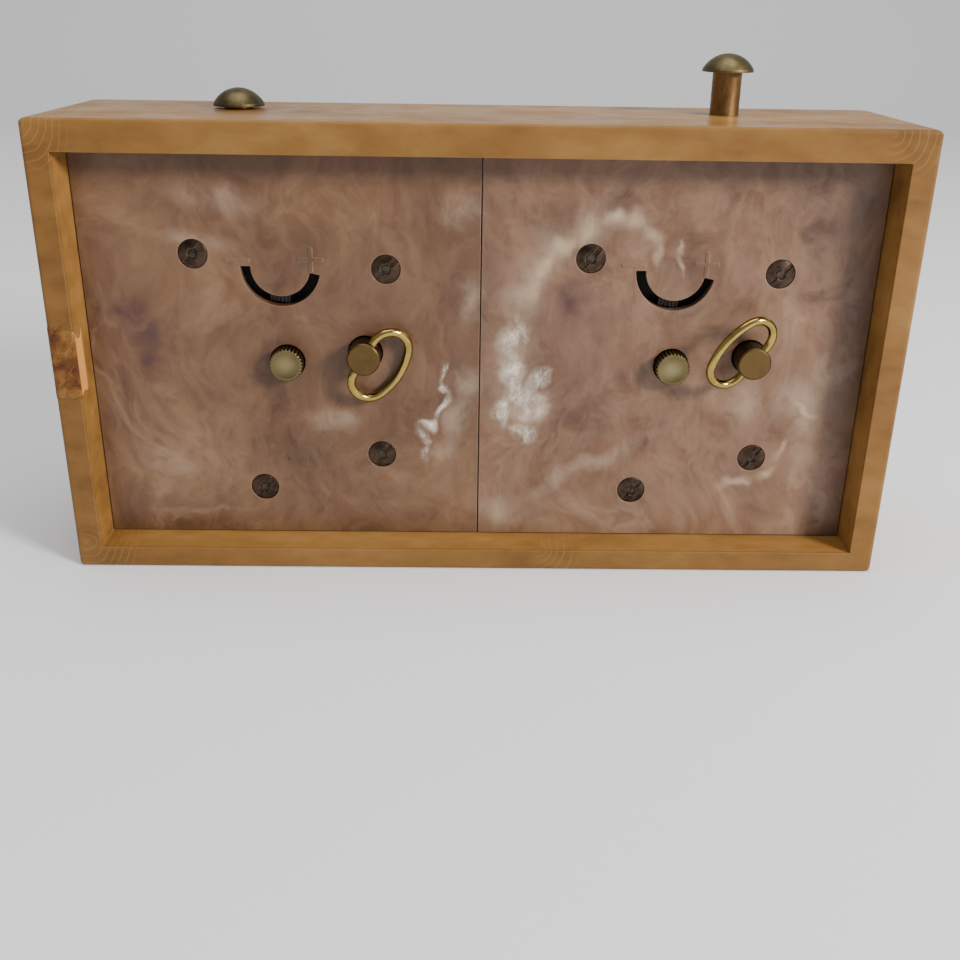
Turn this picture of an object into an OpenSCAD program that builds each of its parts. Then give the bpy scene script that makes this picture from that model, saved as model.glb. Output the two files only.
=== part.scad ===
// Mechanical chess clock: one moulded case, two hand-wound clock movements and a rocker with two plungers.
// Millimetres. +Z is up, the dials face -Y, and the origin is the centre of the case's bottom face.
// "left" and "right" are as seen from the dials, so the right clock is the one at +X.
// Inside a movement, a place is [u, v]: u along +X and v along +Z from that movement's centre arbor.

/* [Case] */
// Width of the case
case_w = 201; // [197:0.5:210]
// Height of the case
case_h = 108.4; // [107:0.1:116]
// Depth of the case, without the bezels
case_d = 50; // [50:0.5:54]
// Thickness of the two side walls at the back rim
side_wall = 6; // [5:0.1:6.5]
// Thickness of the top wall at the back rim
top_wall = 7.2; // [6:0.1:7.5]
// Thickness of the bottom wall at the back rim
floor_wall = 5.4; // [5:0.1:6.5]
// Thickness of the front wall
front_wall = 3.5; // [3:0.1:4]
// Rounding of the upright corners on the dial side
front_corner_r = 7; // [4:0.5:9]
// Rounding of the outer edges round the back rim
rim_edge_r = 1; // [0.6:0.1:2]
// Distance from the back rim to the outer face of the back panels
panel_recess = 9; // [8:0.1:10]
// Thickness of a back panel
panel_t = 2.5; // [2:0.1:3]

/* [Clocks] */
// Distance of each centre arbor from the middle of the case
clock_x = 46.6; // [46:0.1:48]
// Height of the centre arbors above the bottom face
arbor_z = 51.65; // [51:0.05:53]
// Radius of the dial openings in the front wall
opening_r = 38; // [37.8:0.1:38.5]
// Hour and minute that the left clock shows
left_time = [4, 22];
// Hour and minute that the right clock shows
right_time = [4, 37];

/* [Plungers and rocker] */
// Distance of each plunger from the middle of the case
plunger_x = 58.2; // [57:0.1:59]
// Place of the plungers between the dials and the back
plunger_y = -4.5; // [-5:0.1:-4]
// Travel of a plunger
travel = 9.2; // [7:0.1:9.4]
// Radius of a plunger's stem
stem_r = 3.45; // [3:0.05:3.5]
// Radius of a plunger's domed cap
cap_r = 6.05; // [5:0.05:7]
// Height of a plunger's domed cap
cap_h = 4.1; // [3:0.1:5]
// Gap under the cap when its plunger is down
cap_gap = 0.6; // [0.4:0.1:3]

/* [Knobs and keys] */
// Radius of the knurled setting knob
knob_r = 4.05; // [3.5:0.05:4.1]
// How far the setting knob stands out of the panel
knob_out = 3.7; // [3:0.1:5]
// Radius of a winding key's stem
key_r = 3.95; // [3:0.05:4]
// How far the winding key's stem stands out of the panel
key_out = 6.5; // [6:0.1:7]
// Radius of the wire of a key's bow
wire_r = 1.05; // [0.7:0.05:1.1]
// Length of a bow along its hinge, between wire centres
bow_l = 18.4; // [17:0.1:20]
// Reach of a bow from its hinge, between wire centres
bow_w = 10.2; // [9.8:0.1:11]
// Radius of a bow's two ends, to the middle of the wire
bow_end_r = 4.6; // [4.2:0.1:4.8]

/* [Hidden] */
$fn = 64;

back_y = case_d / 2;
front_y = -case_d / 2;
panel_y = back_y - panel_recess;
ledge_y = panel_y - panel_t;
inner_front_y = front_y + front_wall;
wall_taper = 0.6;
ledge_w = 1.5;
seam_gap = 0.15;
block_corner_r = 2;

// Places in a movement, from its centre arbor
nut_places = [[20.85, 25.9], [-24.2, 22.8], [-22.4, -24], [7.5, -33.2]];
nut_turns = [132, 140, 128, 135];
key_at = [-18.9, 2.5];
balance_at = [0.6, 23.1];
dial_feet = [[15, 21], [-24, 0], [0, -26]];
flag_at = [-2.6, 32];

// Gear modules and tooth counts
great_teeth = 72;
centre_leaves = 12;
great_m = 2 * norm(key_at) / (great_teeth + centre_leaves);
centre_teeth = 60;
third_leaves = 8;
centre_m = 0.40;
third_teeth = 56;
fourth_leaves = 7;
third_m = 0.36;
fourth_teeth = 60;
escape_leaves = 6;
fourth_m = 0.32;
cannon_teeth = 12;
minute_teeth = 36;
cannon_m = 0.375;
minute_leaves = 10;
hour_teeth = 40;
hour_m = 0.36;
escape_teeth = 15;
ratchet_teeth = 18;

// Directions from one arbor to the next, in degrees from +X towards +Z
key_dir = atan2(key_at[1], key_at[0]);
third_dir = -10.15;
fourth_dir = 100;
escape_dir = 96;
minute_dir = -50;

function polar(r, a) = [r * cos(a), r * sin(a)];
third_at = polar((centre_teeth + third_leaves) * centre_m / 2, third_dir);
fourth_at = third_at + polar((third_teeth + fourth_leaves) * third_m / 2, fourth_dir);
escape_at = fourth_at + polar((fourth_teeth + escape_leaves) * fourth_m / 2, escape_dir);
minute_at = polar((cannon_teeth + minute_teeth) * cannon_m / 2, minute_dir);
balance_gap = balance_at - escape_at;
lever_dir = atan2(balance_gap[1], balance_gap[0]);
escape_r = 4.6;
lever_at = escape_at + polar(5.6, lever_dir);

// Levels along Y
plate_t = 1.2;
front_plate_y = -14.5;
back_plate_y = 9;
pillar_y = [front_plate_y + plate_t, back_plate_y];
great_y = [-12.2, -11];
ratchet_y = [-10.7, -9.9];
centre_pinion_y = [-12.7, -10.4];
centre_wheel_y = [-8.7, -7.9];
third_pinion_y = [-9.5, -7.1];
third_wheel_y = [-5.9, -5.1];
fourth_pinion_y = [-6.7, -4.3];
fourth_wheel_y = [-3.1, -2.3];
escape_pinion_y = [-3.9, -1.5];
escape_wheel_y = [-0.3, 0.4];
lever_y = [0.9, 1.7];
cock_y = [2.4, 3.2];
balance_y = [4.4, 5.8];
hairspring_y = [6.6, 7.3];
mainspring_y = [-6, 6.5];
cannon_y = [-17.2, -15.2];
minute_wheel_y = [-16.8, -16];
minute_pinion_y = [-19.3, -17];
hour_wheel_y = [-18.9, -18.1];
dial_y = [-21.1, -20.5];
flag_y = [-21.7, -21.4];
hour_hand_y = [-22.9, -22.5];
minute_hand_y = [-24, -23.6];

// Running fits, radii and the click's place on the great wheel
fit = 0.05;
pivot_r = 0.45;
arbor_r = 0.9;
winding_r = 1.6;
click_from_arbor = 9.6;
click_dir = 150;
balance_r = 9;
plunger_fit = 0.1;

// Radii of the pillars' rear studs, the pillars' front ends, the dial feet and the fixed posts
stud_r = 1;
pillar_end_r = 1.4;
foot_r = 0.8;
post_r = 0.8;

// Depth and radius of the sinks in a back panel, and radius of the nuts in them
nut_sink = 1.2;
nut_sink_r = 3.5;
nut_r = 3.3;

// The rocker stands at half its swing from level, with its +X end down
rocker_z = 92.6;
rocker_tilt = asin(travel / 2 / plunger_x);
beam_h = 3;
beam_w = 5;
neck_h = 3.2;

// Winding keys: place of the hinge and the bow's way round, as [turn of the key, lift of the bow]
hinge_y = panel_y + key_out - 2;
left_bow = [127.8, 20];
right_bow = [302, -18.5];

slot_r = 8.2;
slot_w = 2.4;
slot_arc = [-168.5, 0.6];

// ---- Shared shapes ----

// Moves children from the centre arbor of the clock at side -1 (left) or 1 (right)
module at_clock(side) {
    translate([side * clock_x, 0, arbor_z]) children();
}

// A 2D shape in [u, v], extruded from y1 to y2
module slab(y) {
    translate([0, y[1], 0]) rotate([90, 0, 0]) linear_extrude(y[1] - y[0]) children();
}

// A round bar along Y at place p
module bar(p, y1, y2, r) {
    translate([p[0], y1, p[1]]) rotate([-90, 0, 0]) cylinder(h = y2 - y1, r = r);
}

// A 2D profile of [radius, -y], turned round a Y axis at place p
module turned(p = [0, 0]) {
    translate([p[0], 0, p[1]]) rotate([90, 0, 0]) rotate_extrude($fn = 128) children();
}

// Moves children to place p in the plane of a movement
module at_place(p) {
    translate([p[0], 0, p[1]]) children();
}

// Points of a toothed outline: n teeth of module m, one tooth pointing at angle turn
function toothed(n, m, turn, add = 0.85, half = 0.2) = [
    for (i = [0 : n - 1])
        let (r = n * m / 2, pitch = 180 * m)
            for (q = [
                [r - 1.3 * m, -0.27], [r, -half], [r + add * m, -0.08],
                [r + add * m, 0.08], [r, half], [r - 1.3 * m, 0.27]
            ])
                polar(q[0], turn + i * 360 / n + q[1] * pitch / q[0])
];

// A cut pinion, one leaf pointing at angle turn
module pinion(y, n, m, turn) {
    slab(y) polygon(toothed(n, m, turn, add = 0.6, half = 0.2));
}

// A wheel with crossed spokes and a hole for its arbor
module spoked_wheel(y, n, m, turn, hub_r, hole_r, spokes) {
    r = n * m / 2;
    rim = r - 3.2 * m;
    slab(y) difference() {
        polygon(toothed(n, m, turn));
        difference() {
            circle(r = rim);
            circle(r = hub_r);
            for (i = [0 : spokes - 1]) {
                rotate(turn + i * 360 / spokes) translate([0, -0.7]) square([rim + 1, 1.4]);
            }
        }
        circle(r = hole_r);
    }
}

// A lantern pinion: pins between two round shrouds, one gap pointing at angle turn
module lantern(y, n, m, turn) {
    r = n * m / 2;
    shroud = 0.5;
    for (y1 = [y[0], y[1] - shroud]) {
        bar([0, 0], y1, y1 + shroud, r + 0.5);
    }
    for (i = [0 : n - 1]) {
        bar(polar(r, turn + (i + 0.5) * 360 / n), y[0] + 0.1, y[1] - 0.1, 0.6 * m);
    }
}

// An arbor between the plates, with a thinner pivot in each plate
module plain_arbor(r) {
    bar([0, 0], front_plate_y + plate_t + 0.2, back_plate_y - 0.2, r);
    bar([0, 0], front_plate_y, back_plate_y + plate_t, pivot_r);
}

// Angle at which the gap of a follower meets a tooth coming from direction dir
function facing(dir) = dir + 180;

// ---- Case and back panels ----

module box_outline(w, h, r) {
    square([w - 2 * r, h], center = true);
    square([w, h - 2 * r], center = true);
    for (x = [-1, 1], y = [-1, 1]) {
        translate([x * (w / 2 - r), y * (h / 2 - r)]) circle(r = r);
    }
}

// Outline w by d with one radius at its -y corners and another at its +y corners
module two_radius_outline(w, d, front_r, rear_r) {
    translate([-w / 2, front_r - d / 2]) square([w, d - front_r - rear_r]);
    translate([front_r - w / 2, -d / 2]) square([w - 2 * front_r, front_r]);
    translate([rear_r - w / 2, d / 2 - rear_r]) square([w - 2 * rear_r, rear_r]);
    for (x = [-1, 1]) {
        translate([x * (w / 2 - front_r), front_r - d / 2]) circle(r = front_r);
        translate([x * (w / 2 - rear_r), d / 2 - rear_r]) circle(r = rear_r);
    }
}

module case_block() {
    intersection() {
        linear_extrude(case_h) two_radius_outline(case_w, case_d, front_corner_r, rim_edge_r);
        translate([0, 0, case_h / 2]) rotate([90, 0, 0])
            linear_extrude(case_d, center = true) box_outline(case_w, case_h, block_corner_r);
        translate([0, 0, case_h / 2]) rotate([90, 0, 90])
            linear_extrude(case_w, center = true)
                two_radius_outline(case_d, case_h, rim_edge_r, rim_edge_r);
    }
}

// The recess behind the ledge widens a little towards the back rim
module rim_recess() {
    out = 1;
    wide = case_w / 2 - side_wall;
    slope = wall_taper / (back_y - ledge_y);
    intersection() {
        linear_extrude(case_h) polygon([
            [-wide + wall_taper, ledge_y], [wide - wall_taper, ledge_y],
            [wide + slope * out, back_y + out], [-wide - slope * out, back_y + out]
        ]);
        rotate([90, 0, 90]) linear_extrude(case_w, center = true) polygon([
            [ledge_y, floor_wall + wall_taper], [ledge_y, case_h - top_wall - wall_taper],
            [back_y + out, case_h - top_wall + slope * out], [back_y + out, floor_wall - slope * out]
        ]);
    }
}

module movement_bay() {
    low = floor_wall + wall_taper + ledge_w;
    high = case_h - top_wall - wall_taper - ledge_w;
    wide = case_w / 2 - side_wall - wall_taper - ledge_w;
    translate([-wide, inner_front_y, low]) cube([2 * wide, ledge_y - inner_front_y + 1, high - low]);
}

module centre_web() {
    web_t = 4;
    web_top = 80;
    foot_y = inner_front_y - 0.5;
    translate([-web_t / 2, foot_y, floor_wall]) cube([web_t, ledge_y - foot_y, web_top - floor_wall]);
}

module case_shell() {
    color("#d69a4c") difference() {
        union() {
            difference() {
                case_block();
                rim_recess();
                movement_bay();
            }
            centre_web();
        }
        for (side = [-1, 1]) {
            at_clock(side) bar([0, 0], front_y - 1, inner_front_y + 1, opening_r);
            translate([side * plunger_x, plunger_y, case_h - 20])
                cylinder(h = 30, r = stem_r + plunger_fit);
        }
    }
}

// Raised plus and minus marks beside the regulator slot
module regulator_marks() {
    mark_l = 5.8;
    mark_w = 0.95;
    proud = 0.15;
    plus_at = [-6.6, 24.85];
    minus_at = [10.6, 24.5];
    slab([panel_y - 0.1, panel_y + proud]) {
        translate(plus_at) square([mark_l, mark_w], center = true);
        translate(plus_at) square([mark_w, mark_l], center = true);
        translate(minus_at) square([mark_l, mark_w], center = true);
    }
}

module back_panel(side) {
    low = floor_wall + wall_taper + seam_gap;
    high = case_h - top_wall - wall_taper - seam_gap;
    outer = case_w / 2 - side_wall - wall_taper - seam_gap;
    color("#b08a78") difference() {
        union() {
            translate([side > 0 ? seam_gap : -outer, ledge_y, low])
                cube([outer - seam_gap, panel_t, high - low]);
            at_clock(side) regulator_marks();
        }
        at_clock(side) {
            bar([0, 0], ledge_y - 1, panel_y + 1, knob_r + 0.25);
            bar(key_at, ledge_y - 1, panel_y + 1, key_r + 0.3);
            for (p = nut_places) {
                bar(p, ledge_y - 1, panel_y + 1, stud_r + 0.2);
                bar(p, panel_y - nut_sink, panel_y + 1, nut_sink_r);
            }
            at_place(balance_at) translate([0, panel_y + 1, 0]) rotate([90, 0, 0])
                rotate([0, 0, slot_arc[0]]) rotate_extrude(angle = slot_arc[1] - slot_arc[0])
                    translate([slot_r - slot_w / 2, 0]) square([slot_w, panel_t + 2]);
        }
    }
}

// ---- Fastenings and plates ----

module panel_nuts() {
    base_y = panel_y - nut_sink + fit;
    dome = 0.5;
    slot_deep = 0.35;
    slot_across = 1.1;
    dome_r = (nut_r * nut_r + dome * dome) / (2 * dome);
    color("#4f4640") for (side = [-1, 1]) at_clock(side) for (i = [0 : 3]) at_place(nut_places[i]) {
        difference() {
            intersection() {
                bar([0, 0], base_y, panel_y + 1, nut_r);
                translate([0, panel_y - 0.1 + dome - dome_r, 0]) sphere(r = dome_r, $fn = 128);
            }
            bar([0, 0], base_y - 1, panel_y + 1, stud_r + fit);
            bar([0, 0], panel_y - 0.25, panel_y + 1, stud_r + 0.35);
            rotate([0, -nut_turns[i], 0]) translate([-nut_r - 1, panel_y - slot_deep, -slot_across / 2])
                cube([2 * nut_r + 2, 2, slot_across]);
        }
    }
}

module pillars() {
    color("#c9a85c") for (side = [-1, 1]) at_clock(side) for (p = nut_places) {
        bar(p, pillar_y[0], pillar_y[1], 2.5);
        bar(p, front_plate_y, pillar_y[0] + 0.5, pillar_end_r);
        bar(p, pillar_y[1] - 0.5, panel_y - 0.15, stud_r);
    }
}

// Hex nuts that hold the back plates, and cup screws that carry the balance staffs
module plate_fasteners() {
    nut_af = 5;
    cup_r = 2;
    color("#9a9a98") for (side = [-1, 1]) at_clock(side) {
        for (p = nut_places) difference() {
            at_place(p) slab([back_plate_y + plate_t, ledge_y]) circle(r = nut_af / sqrt(3), $fn = 6);
            bar(p, back_plate_y, panel_y, stud_r + fit);
        }
        at_place(balance_at) {
            difference() {
                bar([0, 0], back_plate_y - 0.8, back_plate_y + plate_t + 2, cup_r);
                bar([0, 0], back_plate_y - 1, back_plate_y - 0.3, 0.6);
                translate([-3, back_plate_y + plate_t + 1.4, -0.3]) cube([6, 1, 0.6]);
            }
            difference() {
                bar([0, 0], front_plate_y - 0.6, front_plate_y + plate_t + 0.8, cup_r);
                bar([0, 0], front_plate_y + plate_t + 0.3, front_plate_y + plate_t + 1, 0.6);
            }
        }
    }
}

// Plate outline: a band of the given radius round the four pillar places, filled
module plate_outline(r) {
    n = len(nut_places);
    polygon([for (i = [0 : n - 1]) for (k = [0, 1])
        let (a = nut_places[(i + n - 1) % n], b = nut_places[i], c = nut_places[(i + 1) % n],
            d = k == 0 ? b - a : c - b)
            b + r * [d[1], -d[0]] / norm(d)]);
    for (p = nut_places) translate(p) circle(r = r);
}

module plate_holes(y, pivots) {
    for (p = pivots) {
        bar(p, y - 1, y + plate_t + 1, pivot_r + fit);
    }
    bar([0, 0], y - 1, y + plate_t + 1, arbor_r + fit);
    bar(key_at, y - 1, y + plate_t + 1, winding_r + fit);
    bar(balance_at, y - 1, y + plate_t + 1, 2);
}

module front_plate(side) {
    color("#caa654") at_clock(side) {
        difference() {
            slab([front_plate_y, front_plate_y + plate_t]) plate_outline(5);
            plate_holes(front_plate_y, [third_at, fourth_at, escape_at, lever_at]);
            for (p = nut_places) bar(p, front_plate_y - 1, front_plate_y + plate_t + 1, pillar_end_r);
            for (p = dial_feet) bar(p, front_plate_y - 1, front_plate_y + plate_t + 1, foot_r + fit);
        }
        bar(minute_at, minute_pinion_y[0] - 0.3, front_plate_y + 0.3, post_r);
    }
}

// Arm and post inside the back plate that carry the pallet lever's rear pivot below the balance
module pallet_cock() {
    post_at = escape_at + polar(3.4, lever_dir + 180);
    arm = post_at - lever_at;
    difference() {
        union() {
            bar(post_at, cock_y[0], back_plate_y + 0.1, 1);
            bar(lever_at, cock_y[0], cock_y[1], 1.2);
            at_place(lever_at) slab(cock_y) rotate(atan2(arm[1], arm[0]))
                translate([0, -1]) square([norm(arm), 2]);
        }
        bar(lever_at, cock_y[0] - 1, cock_y[1] + 1, pivot_r + fit);
        bar(escape_at, cock_y[0] - 1, cock_y[1] + 1, 0.65);
    }
}

module back_plate(side) {
    color("#caa654") at_clock(side) {
        difference() {
            slab([back_plate_y, back_plate_y + plate_t]) plate_outline(5);
            plate_holes(back_plate_y, [third_at, fourth_at, escape_at]);
            for (p = nut_places) bar(p, back_plate_y - 1, back_plate_y + plate_t + 1, stud_r + fit);
        }
        pallet_cock();
    }
}

// ---- Dial side ----

module bezel(side) {
    dial_z = -dial_y[0];
    lip_z = -dial_y[1] - 0.6;
    bead_r = 2.2;
    bead_at = [39, 25.9];
    color("#c8a55a") at_clock(side) {
        turned() difference() {
            translate(bead_at) circle(r = bead_r);
            translate([30, -front_y - 5]) square([20, 5]);
            translate([30, 20]) square([6.8, 15]);
        }
        turned() translate([37.1, lip_z]) square([0.75, 5.9]);
        turned() translate([36.4, lip_z]) square([1.2, 0.5]);
        turned() polygon([[37.5, dial_z + 0.05], [36.4, dial_z + 0.05], [35.6, 26.3], [37.5, 26.3]]);
    }
}

module glass(side) {
    apex = 30.4;
    dome_r = 212;
    glass_t = 0.85;
    color("#e8f2f4", 0.4) at_clock(side) intersection() {
        bar([0, 0], -apex - 1, -26, 36.75);
        translate([0, dome_r - apex, 0]) difference() {
            sphere(r = dome_r, $fn = 200);
            sphere(r = dome_r - glass_t, $fn = 200);
        }
    }
}

module dial(side) {
    color("#efe6cf") at_clock(side) {
        difference() {
            bar([0, 0], dial_y[0], dial_y[1], 37);
            bar([0, 0], dial_y[0] - 1, dial_y[1] + 1, 2.8);
        }
        for (p = dial_feet) bar(p, dial_y[1] - 0.3, front_plate_y + plate_t, foot_r);
        bar(flag_at, flag_y[0] - 0.5, dial_y[1], 0.5);
        bar(flag_at, flag_y[0] - 0.5, flag_y[0] - 0.2, 0.9);
    }
}

module flag(side) {
    color("#b3261e") at_clock(side) at_place(flag_at) difference() {
        union() {
            bar([0, 0], flag_y[0], flag_y[1], 1.2);
            slab(flag_y) polygon([
                [-0.6, -0.5], [0.6, -0.5], [0.9, -5.5], [2.4, -9.5], [-2.4, -9.5], [-0.9, -5.5]
            ]);
        }
        bar([0, 0], flag_y[0] - 1, flag_y[1] + 1, 0.56);
    }
}

// Turns children clockwise from twelve, as seen from the dial
module at_angle(a) {
    rotate([0, a, 0]) children();
}

function minute_angle(t) = 6 * t[1];
function hour_angle(t) = 30 * t[0] + t[1] / 2;

module hand(y, length, half_w, hub_r, bore_r) {
    slab(y) difference() {
        union() {
            circle(r = hub_r);
            polygon([
                [-half_w * 0.45, -length * 0.2], [half_w * 0.45, -length * 0.2], [half_w * 0.4, 0],
                [half_w, length * 0.72], [0, length], [-half_w, length * 0.72], [-half_w * 0.4, 0]
            ]);
        }
        circle(r = bore_r);
    }
}

module hour_hand(side, t) {
    color("#1d1c1a") at_clock(side) at_angle(hour_angle(t)) hand(hour_hand_y, 20, 1.5, 3, 2.22);
}

module minute_hand(side, t) {
    color("#1d1c1a") at_clock(side) at_angle(minute_angle(t)) hand(minute_hand_y, 31, 1.1, 2.4, 1.02);
}

// ---- Motion work and hand setting ----

module centre_arbor(side) {
    color("#b9b9b6") at_clock(side) {
        bar([0, 0], cannon_y[1] - 0.5, panel_y + knob_out - 1.4, arbor_r);
        bar([0, 0], minute_hand_y[1] + 0.1, cannon_y[1], 1.5);
        bar([0, 0], minute_hand_y[0] - 0.4, minute_hand_y[1] + 0.5, 1);
        pinion(cannon_y, cannon_teeth, cannon_m, minute_dir);
    }
}

module setting_knob(side) {
    ribs = 28;
    groove = 0.48;
    chamfer = 0.25;
    face_y = panel_y + knob_out;
    dish_r = 16;
    dish_deep = 0.35;
    color("#a89a72") at_clock(side) difference() {
        intersection() {
            slab([ledge_y - 0.6, face_y]) polygon([for (i = [0 : ribs - 1]) for (k = [0 : 2])
                polar(knob_r - (k == 2 ? groove : 0), (i + [0, 0.42, 0.71][k]) * 360 / ribs)]);
            turned() polygon([
                [0, -face_y], [knob_r - chamfer, -face_y], [knob_r, chamfer - face_y],
                [knob_r, 0.6 - ledge_y], [0, 0.6 - ledge_y]
            ]);
        }
        translate([0, face_y + dish_r - dish_deep, 0]) sphere(r = dish_r, $fn = 128);
        bar([0, 0], ledge_y - 2, face_y - 1.3, arbor_r + 0.02);
    }
}

module minute_wheel(side) {
    gap = facing(minute_dir) + 180 / minute_teeth;
    color("#c9a651") at_clock(side) at_place(minute_at) difference() {
        union() {
            spoked_wheel(minute_wheel_y, minute_teeth, cannon_m, gap, 2, 0.5, 4);
            pinion([minute_pinion_y[0], minute_wheel_y[0] + 0.1], minute_leaves, hour_m,
                facing(minute_dir));
        }
        bar([0, 0], minute_pinion_y[0] - 1, minute_wheel_y[1] + 1, post_r + fit);
    }
}

module hour_wheel(side) {
    gap = minute_dir + 180 / hour_teeth;
    color("#c9a651") at_clock(side) difference() {
        union() {
            spoked_wheel(hour_wheel_y, hour_teeth, hour_m, gap, 3, 1, 4);
            bar([0, 0], hour_hand_y[0], hour_wheel_y[1], 2.2);
        }
        bar([0, 0], hour_hand_y[0] - 1, hour_wheel_y[1] + 1, 1.56);
    }
}

// ---- Winding ----

module winding_arbor(side) {
    ratchet_r = 5.2;
    color("#b4b2ae") at_clock(side) at_place(key_at) {
        bar([0, 0], front_plate_y, panel_y + 3, winding_r);
        slab(ratchet_y) polygon([for (i = [0 : ratchet_teeth - 1]) for (k = [0, 1])
            polar(k == 0 ? ratchet_r : ratchet_r - 1.1, (i + 0.12 * k) * 360 / ratchet_teeth)]);
    }
}

module key_stem(side, bow) {
    face_y = panel_y + key_out;
    color("#8a6d45") at_clock(side) at_place(key_at) difference() {
        turned() polygon([
            [0, -face_y], [key_r - 0.35, -face_y], [key_r, 0.35 - face_y], [key_r, -back_plate_y - 2.6],
            [0, -back_plate_y - 2.6]
        ]);
        bar([0, 0], back_plate_y, panel_y + 3.2, winding_r + 0.02);
        rotate([0, -bow[0], 0]) translate([0, hinge_y, 0]) for (s = [-1, 1]) {
            rotate([0, s * 90, 0]) translate([0, 0, 1.8]) cylinder(h = 3, r = wire_r + fit);
        }
    }
}

// An arc of wire in the X-Z plane, from angle start through angle sweep
module wire_arc(r, start, sweep) {
    rotate([90, 0, 0]) rotate([0, 0, start]) rotate_extrude(angle = sweep)
        translate([r, 0]) circle(r = wire_r);
}

// A wire bow: hinge ends in the stem, two round ends and a far side that bulges a little.
// A bead, barely prouder than the wire, closes the short gap between each round end and the far side.
module key_bow(side, bow) {
    inner = 1.95;
    straight = bow_l / 2 - bow_end_r;
    bulge = bow_w - 2 * bow_end_r;
    centres_gap = (straight * straight + bulge * bulge) / (2 * bulge);
    far_half = asin(straight / centres_gap);
    far_r = centres_gap + bow_end_r;
    weld = 0.02;
    short = 1;
    color("#c9a24a") at_clock(side) at_place(key_at) rotate([0, -bow[0], 0]) translate([0, hinge_y, 0])
        rotate([bow[1], 0, 0]) {
            for (s = [0, 1]) mirror([s, 0, 0]) {
                translate([-straight, 0, -bow_end_r]) wire_arc(bow_end_r, 90, 180 - far_half - short);
                translate([-straight, 0, 0]) rotate([0, 90, 0])
                    cylinder(h = straight - inner, r = wire_r);
                translate([
                    -straight - bow_end_r * sin(far_half), 0, -bow_end_r * (1 + cos(far_half))
                ]) sphere(r = wire_r + weld);
            }
            translate([0, 0, far_r - bow_w]) wire_arc(far_r, -90 - far_half, 2 * far_half);
        }
}

module great_wheel(side) {
    gap_free = facing(key_dir);
    color("#c7a24c") at_clock(side) at_place(key_at) {
        spoked_wheel(great_y, great_teeth, great_m, gap_free, 12.2, winding_r + fit, 6);
        at_place(polar(click_from_arbor, click_dir)) {
            bar([0, 0], great_y[1] - 0.3, ratchet_y[1] + 0.2, post_r);
            bar([0, 0], ratchet_y[1] + 0.1, ratchet_y[1] + 0.35, 1.3);
        }
    }
}

// The click's nose stands just clear of the ratchet's tooth tips
module click(side) {
    color("#8d8d8a") at_clock(side) at_place(key_at + polar(click_from_arbor, click_dir)) difference() {
        union() {
            bar([0, 0], ratchet_y[0], ratchet_y[1], 1.5);
            slab(ratchet_y) rotate(click_dir + 207.5)
                polygon([[0.5, -1.4], [0.5, 1.4], [4.9, 0.75], [5.3, -0.1], [4.7, -0.5]]);
        }
        bar([0, 0], ratchet_y[0] - 1, ratchet_y[1] + 1, post_r + fit);
    }
}

// Points of a spiral band from radius r1 to r2 with the given number of turns
function spiral(r1, r2, turns, t, steps, start) = concat(
    [for (i = [0 : steps]) polar(r1 + (r2 - r1) * i / steps, start + 360 * turns * i / steps)],
    [for (i = [steps : -1 : 0]) polar(r1 + (r2 - r1) * i / steps + t, start + 360 * turns * i / steps)]
);

module mainsprings() {
    hook = nut_places[1] - key_at;
    hook_dir = atan2(hook[1], hook[0]);
    outer = 12.4;
    color("#56606b") for (side = [-1, 1]) at_clock(side) at_place(key_at) slab(mainspring_y) {
        polygon(spiral(2.2, outer, 8, 0.35, 176, hook_dir - 90));
        rotate(hook_dir - 90) polygon([
            [outer, -0.3], [outer + 0.35, -0.3], [outer + 0.35, 0.4],
            [2.9, norm(hook) - 0.4], [2.5, norm(hook) - 0.4]
        ]);
        translate(hook) difference() {
            circle(r = 3);
            circle(r = 2.52);
        }
    }
}

// ---- Going train ----

module centre_wheel(side) {
    color("#c9a651") at_clock(side) difference() {
        union() {
            pinion(centre_pinion_y, centre_leaves, great_m, key_dir + 180 / centre_leaves);
            bar([0, 0], centre_pinion_y[0], centre_wheel_y[1] + 0.8, 1.7);
            spoked_wheel(centre_wheel_y, centre_teeth, centre_m, third_dir, 3, 1, 5);
        }
        bar([0, 0], centre_pinion_y[0] - 1, centre_wheel_y[1] + 2, arbor_r + fit);
    }
}

module third_wheel(side) {
    color("#c9a651") at_clock(side) at_place(third_at) {
        plain_arbor(0.7);
        lantern(third_pinion_y, third_leaves, centre_m, facing(third_dir));
        spoked_wheel(third_wheel_y, third_teeth, third_m, fourth_dir, 2.4, 0.1, 5);
    }
}

module fourth_wheel(side) {
    color("#c9a651") at_clock(side) at_place(fourth_at) {
        plain_arbor(0.6);
        lantern(fourth_pinion_y, fourth_leaves, third_m, facing(fourth_dir));
        spoked_wheel(fourth_wheel_y, fourth_teeth, fourth_m, escape_dir, 2.2, 0.1, 5);
    }
}

module escape_wheel(side) {
    root_r = 3.3;
    color("#c9a651") at_clock(side) at_place(escape_at) {
        plain_arbor(0.45);
        lantern(escape_pinion_y, escape_leaves, fourth_m, facing(escape_dir));
        slab(escape_wheel_y) difference() {
            polygon([
                for (i = [0 : escape_teeth - 1])
                    for (q = [[root_r, 0], [escape_r, 0.4], [escape_r, 0.5]])
                        polar(q[0], (i + q[1]) * 360 / escape_teeth)
            ]);
            for (i = [0 : 3]) rotate(i * 90 + 45) translate([1.75, 0]) circle(r = 0.75);
        }
    }
}

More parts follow.
